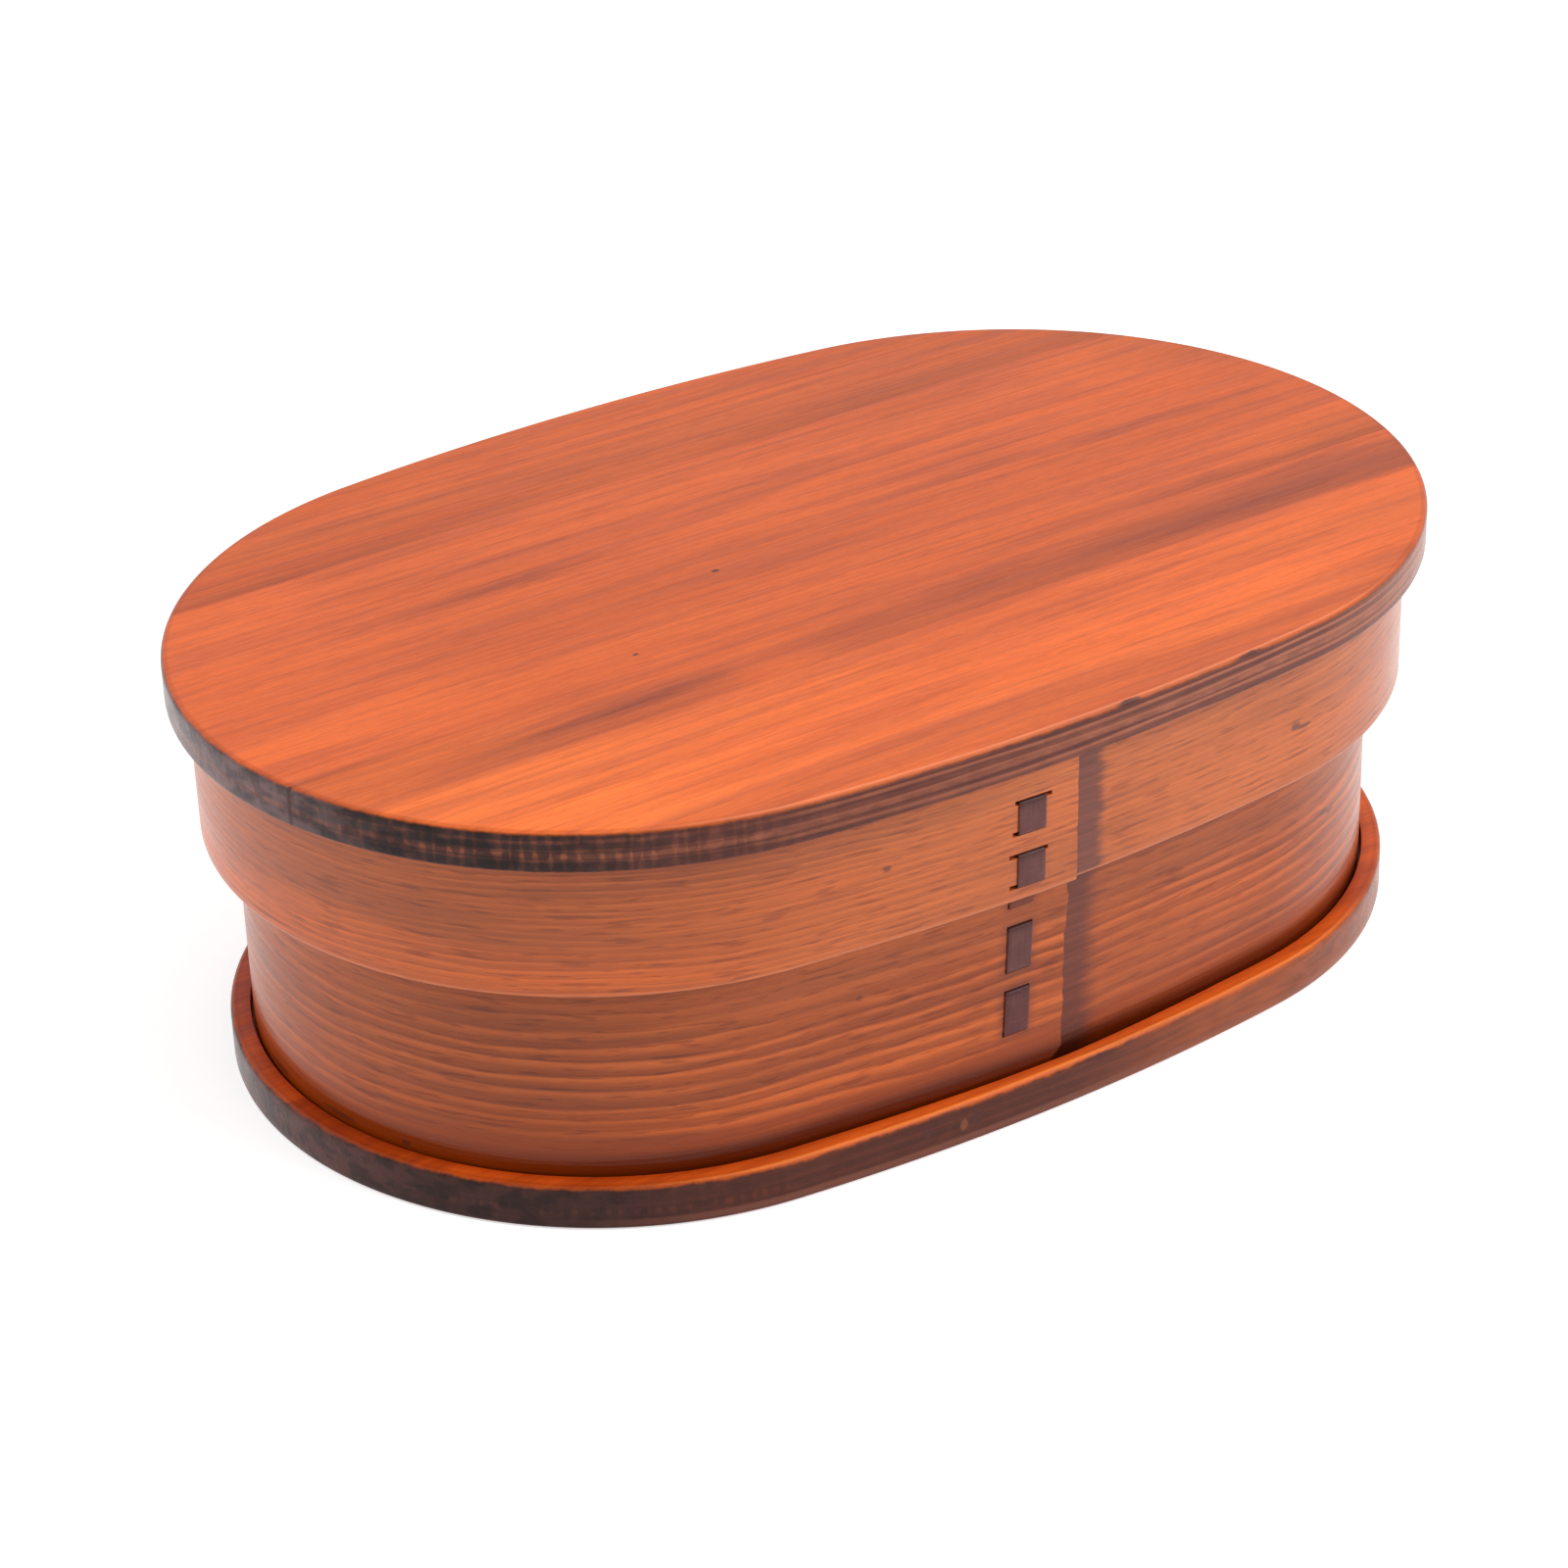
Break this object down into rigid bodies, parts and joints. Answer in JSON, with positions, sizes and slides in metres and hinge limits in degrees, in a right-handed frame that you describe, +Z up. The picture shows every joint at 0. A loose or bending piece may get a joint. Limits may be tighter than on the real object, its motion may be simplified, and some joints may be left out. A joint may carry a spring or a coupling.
{
  "type": "bentwood bento box",
  "caption": "Oval lunch box of bent wood strips, lapped and sewn with bark, on grooved boards, with a lift-off lid and a loose divider.",
  "frame": {"origin": "middle of the underside of the base board, on the surface that the box stands on", "axes": "+X along the long side toward the right end, +Y toward the rear side, away from the sewn laps, +Z up through the lid"},
  "size_m": [0.2004, 0.1324, 0.0663],
  "materials": {
    "board_wood": "satin stained",
    "band_wood": "satin stained",
    "bark": "satin",
    "divider_wood": "satin stained"
  },
  "bodies": {
    "body": {"base_front_stave": "board_wood", "base_rear_stave": "board_wood", "body_band": "band_wood", "body_stitch": "bark"},
    "lid": {"lid_front_stave": "board_wood", "lid_rear_stave": "board_wood", "lid_band": "band_wood", "lid_stitch": "bark"},
    "divider": {"divider": "divider_wood"}
  },
  "joints": [
    {"name": "lid_lift", "type": "slide", "parent": "body", "child": "lid", "axis": [0, 0, 1], "range_m": [0, 0.06]},
    {"name": "divider_slide", "type": "slide", "parent": "body", "child": "divider", "axis": [1, 0, 0], "range_m": [-0.018, 0.006]}
  ]
}
